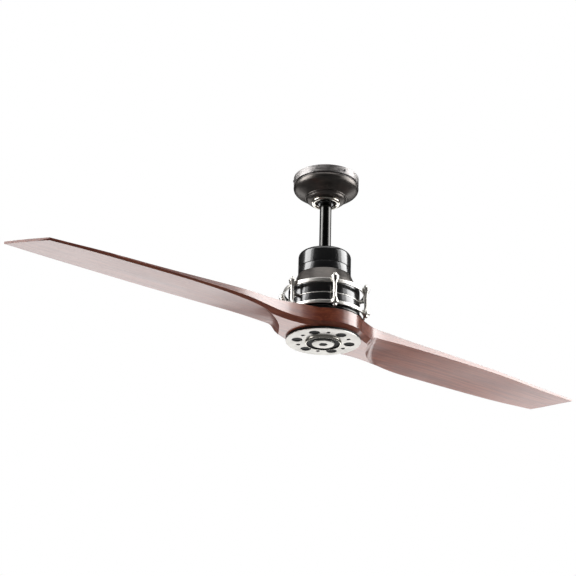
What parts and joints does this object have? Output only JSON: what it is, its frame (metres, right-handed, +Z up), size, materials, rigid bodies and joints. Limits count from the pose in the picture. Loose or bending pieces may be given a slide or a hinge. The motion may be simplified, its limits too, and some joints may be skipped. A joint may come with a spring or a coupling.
{
  "type": "ceiling fan",
  "caption": "Ceiling fan with a carved two-blade wooden propeller under a caged drum motor, on a short downrod from a round canopy with a ball hanger.",
  "frame": {"origin": "on the ceiling plane, at the centre of the hanger bracket between its two ceiling screws", "axes": "+Z up into the ceiling, X along the blades at rest, Y across them"},
  "size_m": [1.524, 0.195, 0.4104],
  "materials": {
    "varnished_wood": "laminated mahogany under gloss varnish",
    "bright_nickel": "polished nickel plate",
    "polished_nickel": "mirror polished nickel plate",
    "smoked_nickel": "smoked nickel plate, polished",
    "gloss_black": "gloss black enamel",
    "gunmetal": "dark pewter plate, satin",
    "antique_silver": "antique silver plate, brushed",
    "dark_steel": "black oxide",
    "zinc_steel": "zinc plate",
    "cast_metal": "die cast",
    "bearing_steel": "ground",
    "core_steel": "laminated electrical steel",
    "copper": "enamelled copper wire",
    "black_plastic": "moulded",
    "rubber": "matt"
  },
  "bodies": {
    "ceiling_mount": {"hanger_bracket": "zinc_steel", "ball_seat": "cast_metal", "canopy_rim": "antique_silver", "rim_straps": "zinc_steel", "rim_screws": "dark_steel"},
    "canopy": {"canopy_bowl": "gunmetal", "canopy_bead": "gunmetal", "canopy_trim_ring": "polished_nickel"},
    "swing_liner": {"seat_liner": "black_plastic"},
    "rotor": {"rotor_cover_lower": "cast_metal", "rotor_cover_upper": "cast_metal", "rotor_ring": "core_steel", "rotor_magnets": "core_steel", "bearing_outer_rings": "bearing_steel", "blade_carrier": "smoked_nickel", "carrier_bolts": "dark_steel", "hub_gasket": "rubber", "propeller": "varnished_wood", "face_plate": "bright_nickel", "hub_bush": "zinc_steel", "hub_boss": "polished_nickel", "groove_ring": "black_plastic", "centre_cap": "bright_nickel", "clamp_bolts": "dark_steel", "clamp_nuts": "dark_steel", "plate_spacer": "black_plastic", "cap_plug": "black_plastic"},
    "motor": {"ball_pin": "zinc_steel", "bearing_balls": "bearing_steel", "bearing_inner_rings": "bearing_steel", "cage_standoffs": "bright_nickel", "control_receiver": "black_plastic", "downrod": "smoked_nickel", "drum_band": "bright_nickel", "drum_lower": "gloss_black", "drum_upper": "gloss_black", "hanger_ball": "cast_metal", "hoop_rivets": "dark_steel", "housing_ring": "gloss_black", "housing_screws": "dark_steel", "housing_skirt": "gunmetal", "lower_hoop": "bright_nickel", "lug_cap_nuts": "bright_nickel", "motor_bracket": "zinc_steel", "motor_shaft": "zinc_steel", "rod_bush": "gloss_black", "rod_grommet": "rubber", "rod_yoke": "cast_metal", "run_capacitor": "black_plastic", "stator_coils": "copper", "stator_core": "core_steel", "supply_leads": "rubber", "tension_lugs": "bright_nickel", "tie_rods": "dark_steel", "top_housing": "gloss_black", "upper_hoop": "bright_nickel", "wire_connectors": "black_plastic", "yoke_pin": "zinc_steel", "yoke_set_screws": "zinc_steel"}
  },
  "joints": [
    {"name": "swing_x", "type": "hinge", "parent": "ceiling_mount", "child": "swing_liner", "pos_m": [0, 0, -0.0313], "axis": [1, 0, 0], "range_deg": [-4, 4]},
    {"name": "swing_y", "type": "hinge", "parent": "swing_liner", "child": "motor", "pos_m": [0, 0, -0.0313], "axis": [0, 1, 0], "range_deg": [-4, 4]},
    {"name": "propeller_spin", "type": "hinge", "parent": "motor", "child": "rotor", "pos_m": [0, 0, -0.34], "axis": [0, 0, 1], "continuous": true},
    {"name": "canopy_slide", "type": "slide", "parent": "ceiling_mount", "child": "canopy", "axis": [0, 0, -1], "range_m": [0, 0.06]}
  ]
}
